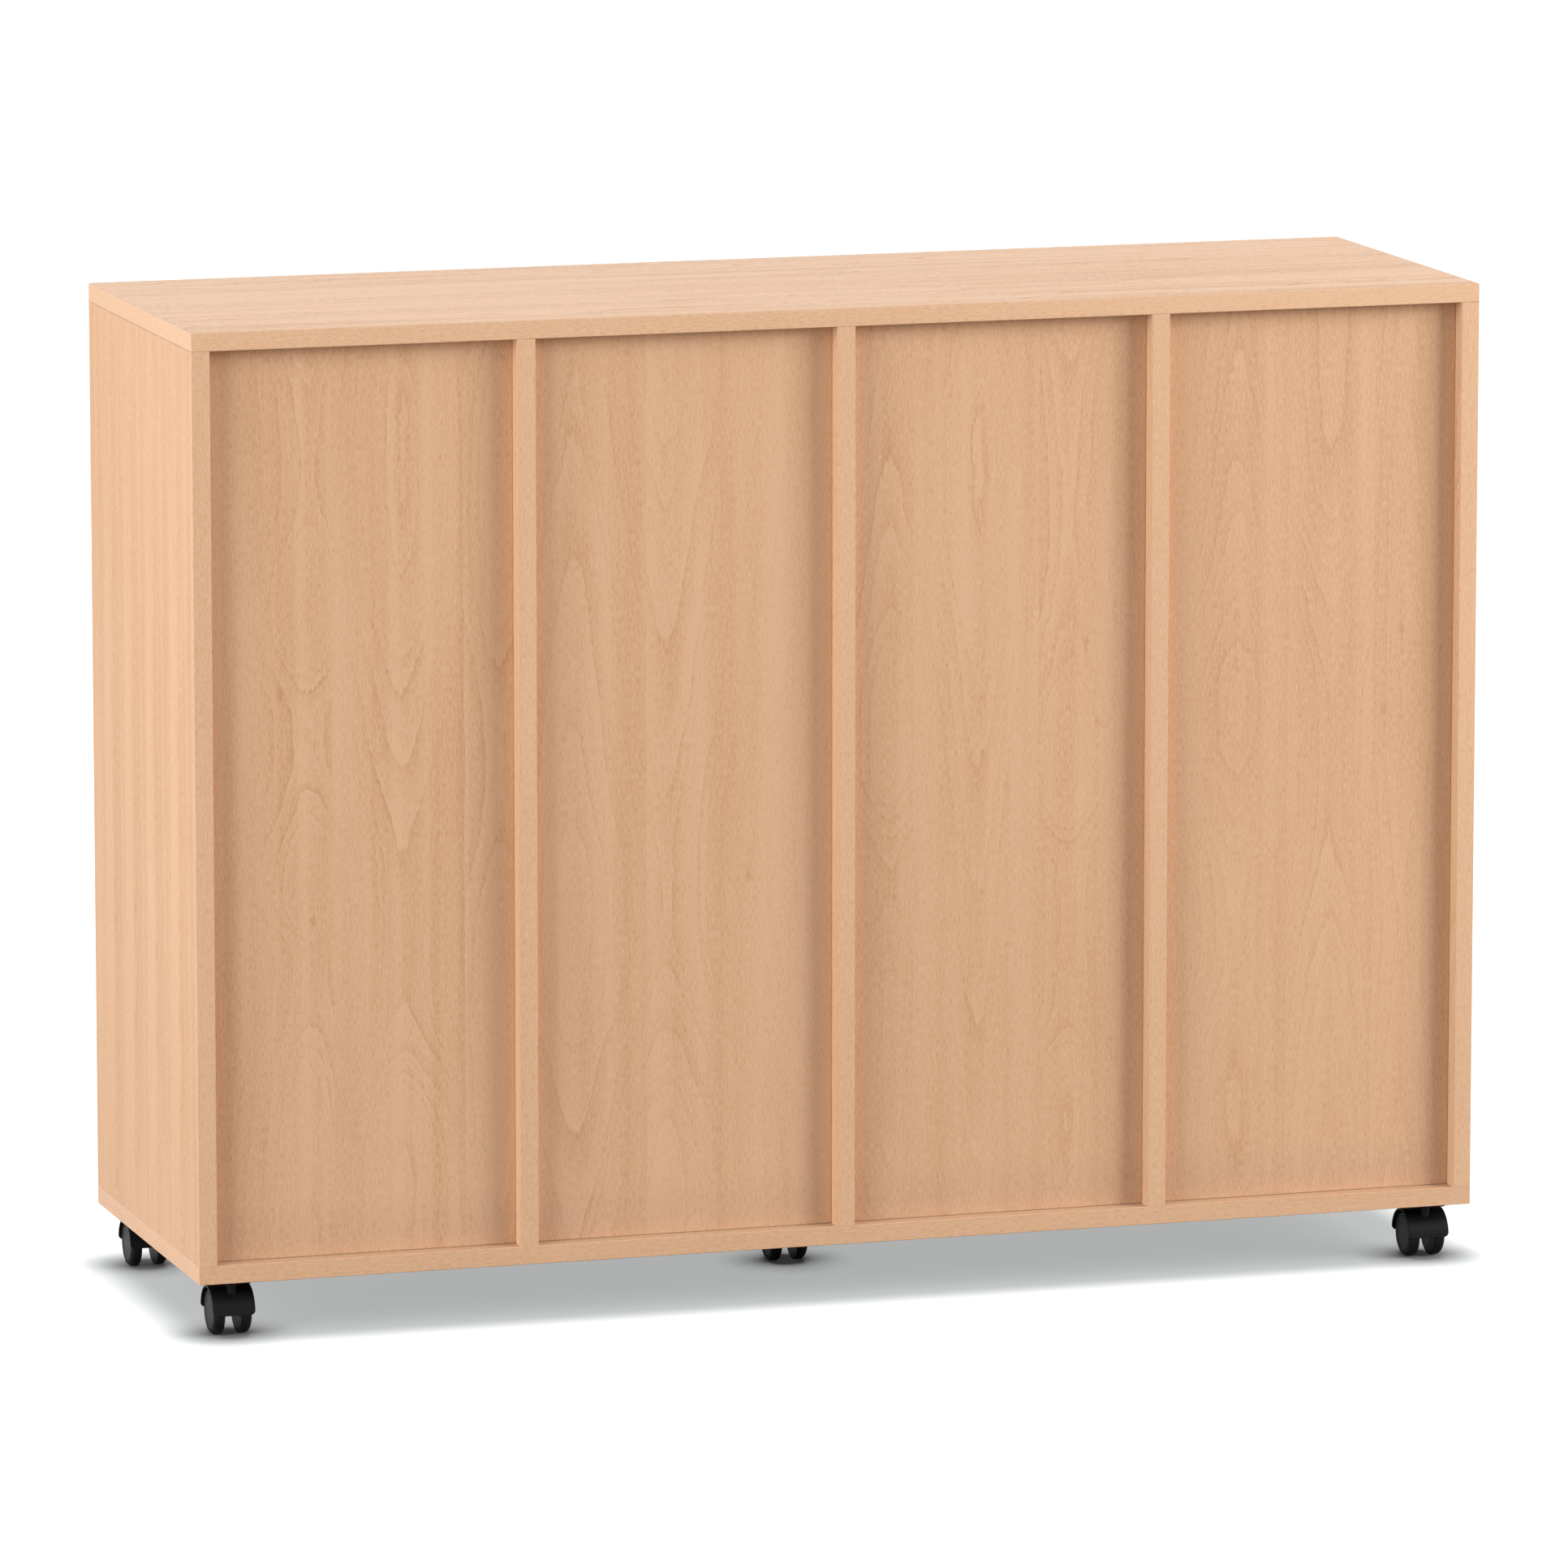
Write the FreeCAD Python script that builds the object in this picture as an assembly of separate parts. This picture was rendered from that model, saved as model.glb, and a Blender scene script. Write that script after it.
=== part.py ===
import FreeCAD, Part
import math
import os

# Mobile shelving unit: a four-bay chipboard carcass with inset back panels and loose shelves,
# carried on five twin-wheel swivel casters.
# Frame: millimetres, +Z up, +X along the length, open front towards -Y, back panels towards +Y.
# The origin lies on the floor under the middle of the carcass.

Vector = FreeCAD.Vector
X_AXIS = Vector(1, 0, 0)
Y_AXIS = Vector(0, 1, 0)
Z_AXIS = Vector(0, 0, 1)

# Carcass
BOARD = 19.0
BAY_COUNT = 4
BAY_CLEAR = 319.0
DEPTH = 430.0
CARCASS_HEIGHT = 970.0

# Plastic edging on every board edge that shows
EDGE_BAND = 2.0
EDGE_RADIUS = 0.6

# Back panels, held in grooves all round
BACK_RECESS = 18.0
BACK_THICKNESS = 8.0
GROOVE_DEPTH = 5.0
GROOVE_PLAY = 0.2

# Glued dowels between the uprights and the top and base
DOWELS_PER_JOINT = 4
DOWEL_DIAMETER = 8.0
DOWEL_IN_PANEL = 12.0
DOWEL_IN_UPRIGHT = 22.0
DOWEL_INSET = 40.0
DOWEL_PLAY = 0.1
DOWEL_END_PLAY = 0.5

# Loose shelves
SHELVES_PER_BAY = 2
SHELF_END_PLAY = 1.0
SHELF_BACK_PLAY = 1.0
SHELF_SETBACK = 5.0

# Shelf pins and their rows of holes
PIN_DIAMETER = 5.0
PIN_PLAY = 0.05
PIN_HOLE_WEB = 1.0
PIN_END_PLAY = 0.5
PIN_STUB_DIAMETER = 7.0
PIN_STUB_LENGTH = 8.0
PIN_SEAT = 2.5
PIN_INSET = 37.0
PIN_PITCH = 32.0
SPARE_HOLES_EACH_WAY = 2

# Casters: place and wheels
CASTER_HEIGHT = 60.0
CASTER_END_INSET = 40.0
CASTER_AXLE_INSET = 41.0
CASTER_TRAIL = 13.0
WHEEL_DIAMETER = 48.0
WHEEL_WIDTH = 11.5
WHEEL_GAP = 17.0
WHEEL_SHOULDER_WIDTH = 6.0
WHEEL_SHOULDER_DROP = 4.0
WHEEL_INNER_ROUND = 2.0
WHEEL_FACE_RIM = 1.0
WHEEL_HUB_DIAMETER = 15.0
WHEEL_POCKET_DEPTH = 6.0
WHEEL_LEDGE = 2.5
CAP_THICKNESS = 2.0
CAP_GROOVE = 1.0
CAP_DISH = 0.5
CAP_BORDER = 2.5
AXLE_DIAMETER = 6.0
AXLE_END_GAP = 0.6
AXLE_CHAMFER = 0.5
SHAFT_PLAY = 0.08
PRESS_PLAY = 0.02

# Casters: hood with its web and swivel column
HOOD_WALL = 1.8
HOOD_GAP = 0.8
HOOD_SKIRT = 1.0
HOOD_OVERHANG = 2.2
HOOD_CORNER = 5.0
HOOD_EDGE_RADIUS = 0.5
HOOD_WEB = 8.0
HOOD_AXLE_BOSS = 12.0
HOOD_WHEEL_PLAY = 0.4
COLUMN_DIAMETER = 10.0
COLUMN_PLAY = 0.3
COLUMN_FLOOR = 3.0

# Casters: steel plate, kingpin and screws
PLATE_SIDE = 38.0
PLATE_THICKNESS = 2.0
PLATE_CORNER = 4.0
PLATE_HOLE_SPACING = 28.0
PLATE_HOLE_DIAMETER = 4.5
KINGPIN_DIAMETER = 6.0
KINGPIN_REACH = 26.0
KINGPIN_HEAD_DIAMETER = 12.0
KINGPIN_HEAD_HEIGHT = 1.5
HEAD_POCKET_PLAY = 1.0
SCREW_DIAMETER = 3.5
SCREW_LENGTH = 15.0
SCREW_TIP = 3.0
SCREW_HEAD_DIAMETER = 7.0
SCREW_HEAD_HEIGHT = 2.2
SCREW_SLOT_WIDTH = 1.0
SCREW_SLOT_DEPTH = 1.2
SCREW_PLAY = 0.05

# One overrun serves every cut that leaves the solid, one distance says that two places are the same
OVERRUN = 5.0
SAME_PLACE = 0.01

# Carcass limits that follow from the driving sizes
WIDTH = BAY_COUNT * BAY_CLEAR + (BAY_COUNT + 1) * BOARD
LEFT, RIGHT = -WIDTH / 2, WIDTH / 2
FRONT, BACK = -DEPTH / 2, DEPTH / 2
BASE_BOTTOM = CASTER_HEIGHT
BASE_TOP = BASE_BOTTOM + BOARD
TOP_TOP = BASE_BOTTOM + CARCASS_HEIGHT
TOP_BOTTOM = TOP_TOP - BOARD
BACK_OUTSIDE = BACK - BACK_RECESS
BACK_INSIDE = BACK_OUTSIDE - BACK_THICKNESS
COMPARTMENT = (TOP_BOTTOM - BASE_TOP - SHELVES_PER_BAY * BOARD) / (SHELVES_PER_BAY + 1)
PIN_HOLE_DEPTH = (BOARD - PIN_HOLE_WEB) / 2

# Caster limits, in a frame with the swivel axis on Z and the floor at zero
WHEEL_RADIUS = WHEEL_DIAMETER / 2
WHEEL_INNER_FACE = WHEEL_GAP / 2
WHEEL_OUTER_FACE = WHEEL_INNER_FACE + WHEEL_WIDTH
AXLE_Y = -CASTER_TRAIL
AXLE_Z = WHEEL_RADIUS
FACE_RADIUS = WHEEL_RADIUS - WHEEL_SHOULDER_DROP
CAP_SEAT_RADIUS = FACE_RADIUS - WHEEL_FACE_RIM
CAP_RADIUS = CAP_SEAT_RADIUS - CAP_GROOVE
CAP_SEAT = WHEEL_WIDTH - CAP_THICKNESS
HOOD_INSIDE = WHEEL_RADIUS + HOOD_GAP
HOOD_OUTSIDE = HOOD_INSIDE + HOOD_WALL
PLATE_BOTTOM = CASTER_HEIGHT - PLATE_THICKNESS
KINGPIN_BOTTOM = PLATE_BOTTOM - KINGPIN_REACH


def block(x, y, z):
    """Box between the pairs of limits x, y and z."""
    return Part.makeBox(x[1] - x[0], y[1] - y[0], z[1] - z[0], Vector(x[0], y[0], z[0]))


def rod(radius, start, direction, length):
    """Round bar from the point start, along direction."""
    return Part.makeCylinder(radius, length, start, direction)


def rounded(solid, outer_planes, radius):
    """Rounds each edge of solid that lies in two of the planes, given as (axis number, place)."""
    def planes_through(edge):
        middle = edge.CenterOfMass
        return [p for p in outer_planes if abs(middle[p[0]] - p[1]) < SAME_PLACE]

    return solid.makeFillet(radius, [e for e in solid.Edges if len(planes_through(e)) > 1])


def spun(points, centre):
    """Solid turned about the X axis through centre, from an outline of lines and three-point arcs.

    Each entry is the next (along, radius) point, or a pair of them for an arc's middle and end.
    """
    place = lambda p: Vector(p[0], 0, p[1])
    edges = []
    here = points[0]
    for entry in points[1:] + [points[0]]:
        if isinstance(entry[0], tuple):
            edges.append(Part.Arc(place(here), place(entry[0]), place(entry[1])).toShape())
            here = entry[1]
        else:
            edges.append(Part.LineSegment(place(here), place(entry)).toShape())
            here = entry
    solid = Part.Face(Part.Wire(edges)).revolve(Vector(0, 0, 0), X_AXIS, 360)
    solid.translate(centre)
    return solid


def upright_x(number):
    """Limits along X of an upright: the first and last are the sides, the others the dividers."""
    left = LEFT + number * (BAY_CLEAR + BOARD)
    return left, left + BOARD


def bay_x(number):
    """Clear limits along X of a bay."""
    return upright_x(number)[1], upright_x(number + 1)[0]


def shelf_z(level):
    """Lower and upper face of the shelf at this level, counted from zero."""
    bottom = BASE_TOP + (level + 1) * COMPARTMENT + level * BOARD
    return bottom, bottom + BOARD


def evenly(first, last, count):
    """Places from first to last, in equal steps."""
    return [first + (last - first) * n / (count - 1) for n in range(count)]


# Tools and pieces of the joints between boards

def groove_cut(bay):
    """Space that a back panel's grooves take from the boards round it."""
    x = bay_x(bay)
    return block((x[0] - GROOVE_DEPTH, x[1] + GROOVE_DEPTH),
                 (BACK_INSIDE - GROOVE_PLAY, BACK_OUTSIDE + GROOVE_PLAY),
                 (BASE_TOP - GROOVE_DEPTH, TOP_BOTTOM + GROOVE_DEPTH))


def back_panel(bay):
    """Inset back panel of one bay, standing in its grooves."""
    x = bay_x(bay)
    reach = GROOVE_DEPTH - GROOVE_PLAY
    return block((x[0] - reach, x[1] + reach),
                 (BACK_INSIDE, BACK_OUTSIDE),
                 (BASE_TOP - GROOVE_DEPTH, TOP_BOTTOM + reach))


def dowels(upright, play, end_play):
    """Dowels at both ends of one upright. With play they are the tools for its holes."""
    x = sum(upright_x(upright)) / 2
    radius = DOWEL_DIAMETER / 2 + play
    length = DOWEL_IN_PANEL + DOWEL_IN_UPRIGHT + 2 * end_play
    made = []
    for y in evenly(FRONT + DOWEL_INSET, BACK_INSIDE - DOWEL_INSET, DOWELS_PER_JOINT):
        for start in (BASE_TOP - DOWEL_IN_PANEL, TOP_BOTTOM - DOWEL_IN_UPRIGHT):
            made.append(rod(radius, Vector(x, y, start - end_play), Z_AXIS, length))
    return made


def pin_places():
    """Y of the two pin rows and Z of the pin axis at each shelf."""
    for y in (FRONT + PIN_INSET, BACK_INSIDE - PIN_INSET):
        for level in range(SHELVES_PER_BAY):
            yield y, shelf_z(level)[0] - PIN_SEAT


def pin_holes(upright):
    """Tools for the pin holes on the faces of an upright that look into a bay."""
    left, right = upright_x(upright)
    faces = []
    if upright > 0:
        faces.append((left, X_AXIS))
    if upright < BAY_COUNT:
        faces.append((right, -X_AXIS))
    made = []
    for y, z in pin_places():
        for step in range(-SPARE_HOLES_EACH_WAY, SPARE_HOLES_EACH_WAY + 1):
            for x, inwards in faces:
                start = Vector(x, y, z + step * PIN_PITCH) - inwards * OVERRUN
                made.append(rod(PIN_DIAMETER / 2 + PIN_PLAY, start, inwards, PIN_HOLE_DEPTH + OVERRUN))
    return made


def shelf_pins(bay):
    """Four pins for each shelf of a bay: a shank in the upright and a flat-topped stub under the shelf."""
    left, right = bay_x(bay)
    shank = PIN_HOLE_DEPTH - PIN_END_PLAY
    made = []
    for y, z in pin_places():
        for face, outwards in ((left, X_AXIS), (right, -X_AXIS)):
            foot = Vector(face, y, z)
            stub = rod(PIN_STUB_DIAMETER / 2, foot, outwards, PIN_STUB_LENGTH)
            above_seat = block((face - PIN_STUB_LENGTH - OVERRUN, face + PIN_STUB_LENGTH + OVERRUN),
                               (y - PIN_STUB_DIAMETER, y + PIN_STUB_DIAMETER),
                               (z + PIN_SEAT, z + PIN_STUB_DIAMETER))
            pin = rod(PIN_DIAMETER / 2, foot, -outwards, shank).fuse(stub.cut(above_seat))
            made.append(pin.removeSplitter())
    return made


# Boards and their edging

def panel(z, tools):
    """Top or base board between the limits z, without its edging."""
    core = block((LEFT + EDGE_BAND, RIGHT - EDGE_BAND), (FRONT + EDGE_BAND, BACK - EDGE_BAND), z)
    return core.cut(tools)


def panel_edging(z):
    """Edging of the top or base: long strips at front and back, short ones between them at the ends."""
    strips = []
    faces_z = [(2, z[0]), (2, z[1])]
    for outer, inner in ((FRONT, FRONT + EDGE_BAND), (BACK, BACK - EDGE_BAND)):
        strip = block((LEFT, RIGHT), sorted((outer, inner)), z)
        strips.append(rounded(strip, faces_z + [(0, LEFT), (0, RIGHT), (1, outer)], EDGE_RADIUS))
    for outer, inner in ((LEFT, LEFT + EDGE_BAND), (RIGHT, RIGHT - EDGE_BAND)):
        strip = block(sorted((outer, inner)), (FRONT + EDGE_BAND, BACK - EDGE_BAND), z)
        strips.append(rounded(strip, faces_z + [(0, outer)], EDGE_RADIUS))
    return strips


def upright(number):
    """Side or divider, with its dowel holes, pin holes and back panel grooves."""
    core = block(upright_x(number), (FRONT + EDGE_BAND, BACK - EDGE_BAND), (BASE_TOP, TOP_BOTTOM))
    grooves = [groove_cut(bay) for bay in (number - 1, number) if 0 <= bay < BAY_COUNT]
    return core.cut(grooves + dowels(number, DOWEL_PLAY, DOWEL_END_PLAY) + pin_holes(number))


def upright_edging(number):
    """Strips on the front and back edges of an upright."""
    left, right = upright_x(number)
    strips = []
    for outer, inner in ((FRONT, FRONT + EDGE_BAND), (BACK, BACK - EDGE_BAND)):
        strip = block((left, right), sorted((outer, inner)), (BASE_TOP, TOP_BOTTOM))
        strips.append(rounded(strip, [(0, left), (0, right), (1, outer)], EDGE_RADIUS))
    return strips


def shelf_x(bay):
    """Limits along X of a shelf, which lies loose between two uprights."""
    left, right = bay_x(bay)
    return left + SHELF_END_PLAY, right - SHELF_END_PLAY


def shelf(bay, level):
    """Loose shelf board behind its front edging."""
    return block(shelf_x(bay), (FRONT + SHELF_SETBACK + EDGE_BAND, BACK_INSIDE - SHELF_BACK_PLAY),
                 shelf_z(level))


def shelf_edging(bay, level):
    """Strip on the front edge of a shelf."""
    front = FRONT + SHELF_SETBACK
    z = shelf_z(level)
    strip = block(shelf_x(bay), (front, front + EDGE_BAND), z)
    return rounded(strip, [(1, front), (2, z[0]), (2, z[1])], EDGE_RADIUS)


# Caster pieces, each in the caster's own frame

def plate_holes():
    """Centres of a caster plate's four screw holes."""
    half = PLATE_HOLE_SPACING / 2
    return [Vector(x, y, 0) for x in (-half, half) for y in (-half, half)]


def caster_plate():
    """Square steel plate under the base board, drilled for the kingpin and four screws."""
    half = PLATE_SIDE / 2
    plate = block((-half, half), (-half, half), (PLATE_BOTTOM, CASTER_HEIGHT))
    plate = rounded(plate, [(0, -half), (0, half), (1, -half), (1, half)], PLATE_CORNER)
    below = Vector(0, 0, PLATE_BOTTOM - OVERRUN)
    through = PLATE_THICKNESS + 2 * OVERRUN
    holes = [rod(PLATE_HOLE_DIAMETER / 2, below + place, Z_AXIS, through) for place in plate_holes()]
    return plate.cut(holes + [rod(KINGPIN_DIAMETER / 2 + PRESS_PLAY, below, Z_AXIS, through)])


def kingpin():
    """Swivel pin riveted through the plate, its flat head in a pocket of the base board."""
    length = KINGPIN_REACH + PLATE_THICKNESS
    shank = rod(KINGPIN_DIAMETER / 2, Vector(0, 0, KINGPIN_BOTTOM), Z_AXIS, length)
    head = rod(KINGPIN_HEAD_DIAMETER / 2, Vector(0, 0, CASTER_HEIGHT), Z_AXIS, KINGPIN_HEAD_HEIGHT)
    return shank.fuse(head).removeSplitter()


def plate_screw():
    """Pan-head wood screw, upside down under the plate, with a crossed slot."""
    head_radius = SCREW_HEAD_DIAMETER / 2
    bottom = PLATE_BOTTOM - SCREW_HEAD_HEIGHT
    dome = Part.makeSphere(head_radius, Vector(0, 0, 0))
    squeeze = FreeCAD.Matrix()
    squeeze.scale(1, 1, SCREW_HEAD_HEIGHT / head_radius)
    dome = dome.transformGeometry(squeeze)
    dome.translate(Vector(0, 0, PLATE_BOTTOM))
    across = (-head_radius, head_radius)
    head = dome.common(block(across, across, (bottom, PLATE_BOTTOM)))
    straight = SCREW_LENGTH - SCREW_TIP
    shank = rod(SCREW_DIAMETER / 2, Vector(0, 0, PLATE_BOTTOM), Z_AXIS, straight)
    tip = Part.makeCone(SCREW_DIAMETER / 2, 0, SCREW_TIP, Vector(0, 0, PLATE_BOTTOM + straight), Z_AXIS)
    half = SCREW_SLOT_WIDTH / 2
    slot_z = (bottom - OVERRUN, bottom + SCREW_SLOT_DEPTH)
    slots = [block((-half, half), (-head_radius / 2, head_radius / 2), slot_z),
             block((-head_radius / 2, head_radius / 2), (-half, half), slot_z)]
    return head.fuse([shank, tip]).removeSplitter().cut(slots)


def base_caster_cuts():
    """Pilot holes and kingpin head pocket that one caster needs in the base board."""
    below = Vector(0, 0, CASTER_HEIGHT - OVERRUN)
    pilot_depth = SCREW_LENGTH - PLATE_THICKNESS + OVERRUN
    radius = SCREW_DIAMETER / 2 + SCREW_PLAY
    cuts = [rod(radius, below + place, Z_AXIS, pilot_depth) for place in plate_holes()]
    pocket_depth = KINGPIN_HEAD_HEIGHT + HEAD_POCKET_PLAY / 2 + OVERRUN
    cuts.append(rod(KINGPIN_HEAD_DIAMETER / 2 + HEAD_POCKET_PLAY, below, Z_AXIS, pocket_depth))
    return cuts


def hood_cover():
    """Half-round sheet over both wheels, its lower corners and outer rims rounded."""
    half = WHEEL_OUTER_FACE + HOOD_OVERHANG
    skirt = AXLE_Z - HOOD_SKIRT
    centre = Vector(-half, AXLE_Y, AXLE_Z)
    outside = rod(HOOD_OUTSIDE, centre, X_AXIS, 2 * half)
    inside = rod(HOOD_INSIDE, centre - X_AXIS * OVERRUN, X_AXIS, 2 * half + 2 * OVERRUN)
    sheet = block((-half, half), (AXLE_Y - HOOD_OUTSIDE - OVERRUN, AXLE_Y + HOOD_OUTSIDE + OVERRUN),
                  (skirt, AXLE_Z + HOOD_OUTSIDE + OVERRUN))
    sheet = rounded(sheet, [(0, -half), (0, half), (2, skirt)], HOOD_CORNER)
    cover = outside.cut(inside).common(sheet)

    def on_rim(edge):
        middle = edge.valueAt((edge.FirstParameter + edge.LastParameter) / 2)
        reach = math.hypot(middle.y - AXLE_Y, middle.z - AXLE_Z)
        return abs(abs(middle.x) - half) < SAME_PLACE and abs(reach - HOOD_OUTSIDE) < SAME_PLACE

    return cover.makeFillet(HOOD_EDGE_RADIUS, [e for e in cover.Edges if on_rim(e)])


def hood():
    """Moulded hood: the cover joined to a web and axle boss between the wheels and a bored swivel column."""
    half_web = HOOD_WEB / 2
    boss_half = WHEEL_INNER_FACE - HOOD_WHEEL_PLAY
    disc = rod((HOOD_INSIDE + HOOD_OUTSIDE) / 2, Vector(-half_web, AXLE_Y, AXLE_Z), X_AXIS, HOOD_WEB)
    upper = block((-half_web, half_web), (AXLE_Y - HOOD_OUTSIDE, AXLE_Y + HOOD_OUTSIDE),
                  (AXLE_Z - HOOD_SKIRT, AXLE_Z + HOOD_OUTSIDE))
    boss = rod(HOOD_AXLE_BOSS / 2, Vector(-boss_half, AXLE_Y, AXLE_Z), X_AXIS, 2 * boss_half)
    column_bottom = KINGPIN_BOTTOM - COLUMN_FLOOR
    column = rod(COLUMN_DIAMETER / 2, Vector(0, 0, column_bottom), Z_AXIS,
                 PLATE_BOTTOM - COLUMN_PLAY - column_bottom)
    solid = hood_cover().fuse([disc.common(upper), boss, column]).removeSplitter()
    kingpin_bore = rod(KINGPIN_DIAMETER / 2 + SHAFT_PLAY, Vector(0, 0, KINGPIN_BOTTOM - COLUMN_PLAY), Z_AXIS,
                       KINGPIN_REACH + OVERRUN)
    axle_bore = rod(AXLE_DIAMETER / 2 + PRESS_PLAY, Vector(-boss_half - OVERRUN, AXLE_Y, AXLE_Z), X_AXIS,
                    2 * boss_half + 2 * OVERRUN)
    return solid.cut([kingpin_bore, axle_bore])


def axle():
    """Steel axle through the hood's boss, ending inside both wheel hubs."""
    half = WHEEL_INNER_FACE + CAP_SEAT - AXLE_END_GAP
    bar = rod(AXLE_DIAMETER / 2, Vector(-half, AXLE_Y, AXLE_Z), X_AXIS, 2 * half)
    ends = [e for e in bar.Edges if abs(abs(e.CenterOfMass.x) - half) < SAME_PLACE]
    return bar.makeChamfer(AXLE_CHAMFER, ends)


def wheel(side):
    """Moulded wheel on one side of the hood, -1 or 1, with a bore, a pocket and a seat for its cap."""
    bore = AXLE_DIAMETER / 2 + SHAFT_PLAY
    slant = math.sin(math.pi / 4)
    shoulder = WHEEL_WIDTH - WHEEL_SHOULDER_WIDTH
    pocket_floor = CAP_SEAT - WHEEL_POCKET_DEPTH
    pocket_radius = CAP_SEAT_RADIUS - WHEEL_LEDGE
    hub = WHEEL_HUB_DIAMETER / 2
    round_middle = WHEEL_INNER_ROUND * (1 - slant)
    outline = [
        (0, bore),
        (0, WHEEL_RADIUS - WHEEL_INNER_ROUND),
        ((round_middle, WHEEL_RADIUS - round_middle), (WHEEL_INNER_ROUND, WHEEL_RADIUS)),
        (shoulder, WHEEL_RADIUS),
        ((shoulder + WHEEL_SHOULDER_WIDTH * slant, FACE_RADIUS + WHEEL_SHOULDER_DROP * slant),
         (WHEEL_WIDTH, FACE_RADIUS)),
        (WHEEL_WIDTH, CAP_SEAT_RADIUS),
        (CAP_SEAT, CAP_SEAT_RADIUS),
        (CAP_SEAT, pocket_radius),
        (pocket_floor, pocket_radius),
        (pocket_floor, hub),
        (CAP_SEAT, hub),
        (CAP_SEAT, bore),
    ]
    return on_side(spun(outline, Vector(WHEEL_INNER_FACE, AXLE_Y, AXLE_Z)), side)


def cap(side):
    """Round cap pressed into a wheel's outer face, with a shallow dish inside its border."""
    dish = CAP_RADIUS - CAP_BORDER
    outline = [(0, 0), (0, CAP_RADIUS), (CAP_THICKNESS, CAP_RADIUS), (CAP_THICKNESS, dish + CAP_DISH),
               (CAP_THICKNESS - CAP_DISH, dish), (CAP_THICKNESS - CAP_DISH, 0)]
    return on_side(spun(outline, Vector(WHEEL_INNER_FACE + CAP_SEAT, AXLE_Y, AXLE_Z)), side)


def on_side(solid, side):
    """The solid as made for +X, or its mirror image for -X."""
    return solid if side > 0 else solid.mirror(Vector(0, 0, 0), X_AXIS)


def caster_places():
    """Swivel axis of each caster: one near every corner and one under the middle."""
    end = RIGHT - CASTER_END_INSET
    front = FRONT + CASTER_AXLE_INSET + CASTER_TRAIL
    back = BACK - CASTER_AXLE_INSET + CASTER_TRAIL
    return {
        "front_left": Vector(-end, front, 0),
        "front_right": Vector(end, front, 0),
        "back_left": Vector(-end, back, 0),
        "back_right": Vector(end, back, 0),
        "centre": Vector(0, CASTER_TRAIL, 0),
    }


def placed(solid, place):
    """Copy of a caster piece at its place under the base."""
    moved = solid.copy()
    moved.translate(place)
    return moved


def carcass_nodes():
    """Boards, edging, dowels, shelves and pins, by node name."""
    bays = range(BAY_COUNT)
    uprights = range(BAY_COUNT + 1)
    grooves = [groove_cut(bay) for bay in bays]
    dowel_holes = [d for n in uprights for d in dowels(n, DOWEL_PLAY, DOWEL_END_PLAY)]
    caster_cuts = [placed(c, place) for place in caster_places().values() for c in base_caster_cuts()]
    nodes = {
        "top_panel": panel((TOP_BOTTOM, TOP_TOP), grooves + dowel_holes),
        "base_panel": panel((BASE_BOTTOM, BASE_TOP), grooves + dowel_holes + caster_cuts),
        "top_edging": panel_edging((TOP_BOTTOM, TOP_TOP)),
        "base_edging": panel_edging((BASE_BOTTOM, BASE_TOP)),
        "upright_edging": [s for n in uprights for s in upright_edging(n)],
        "dowels": [d for n in uprights for d in dowels(n, 0, 0)],
        "shelf_pins": [p for bay in bays for p in shelf_pins(bay)],
    }
    for n in uprights:
        name = {0: "side_left", BAY_COUNT: "side_right"}.get(n, f"divider_{n}")
        nodes[name] = upright(n)
    for bay in bays:
        nodes[f"back_panel_{bay + 1}"] = back_panel(bay)
        for level in range(SHELVES_PER_BAY):
            nodes[f"shelf_{bay + 1}_{level + 1}"] = shelf(bay, level)
    nodes["shelf_edging"] = [shelf_edging(bay, level) for bay in bays for level in range(SHELVES_PER_BAY)]
    return nodes


def caster_nodes():
    """Caster pieces, by node name. The plates, kingpins and screws stay with the carcass."""
    places = caster_places()
    nodes = {
        "caster_plates": [placed(caster_plate(), p) for p in places.values()],
        "caster_kingpins": [placed(kingpin(), p) for p in places.values()],
        "caster_screws": [placed(plate_screw(), p + hole) for p in places.values() for hole in plate_holes()],
    }
    moving = {"hood": hood(), "axle": axle(), "wheel_left": wheel(-1), "wheel_right": wheel(1),
              "cap_left": cap(-1), "cap_right": cap(1)}
    for where, place in places.items():
        for piece, solid in moving.items():
            nodes[f"caster_{where}_{piece}"] = placed(solid, place)
    return nodes


def main():
    os.makedirs("parts", exist_ok=True)
    nodes = {**carcass_nodes(), **caster_nodes()}
    for name, made in nodes.items():
        shape = Part.makeCompound(made) if isinstance(made, list) else made
        shape.exportStep(f"parts/{name}.step")
        print(f"{name}: solids {len(shape.Solids)}, volume {shape.Volume:.0f} mm3, valid {shape.isValid()}")
    print(len(nodes), "nodes;", WIDTH, "x", DEPTH, "x", TOP_TOP, "mm")


main()
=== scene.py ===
# %% [markdown]
# # A beech-decor shelving unit on casters
#
# The unit is made of decor-faced chipboard: a carcass of five uprights between a top and a base, four
# inset back panels, loose shelves and five black twin-wheel casters. The solids come ready from the packed
# frame, at their real size and place. This lesson gives them their finishes, then sets up a plain studio.

# %% Load the frame
import math
from collections import namedtuple

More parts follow.
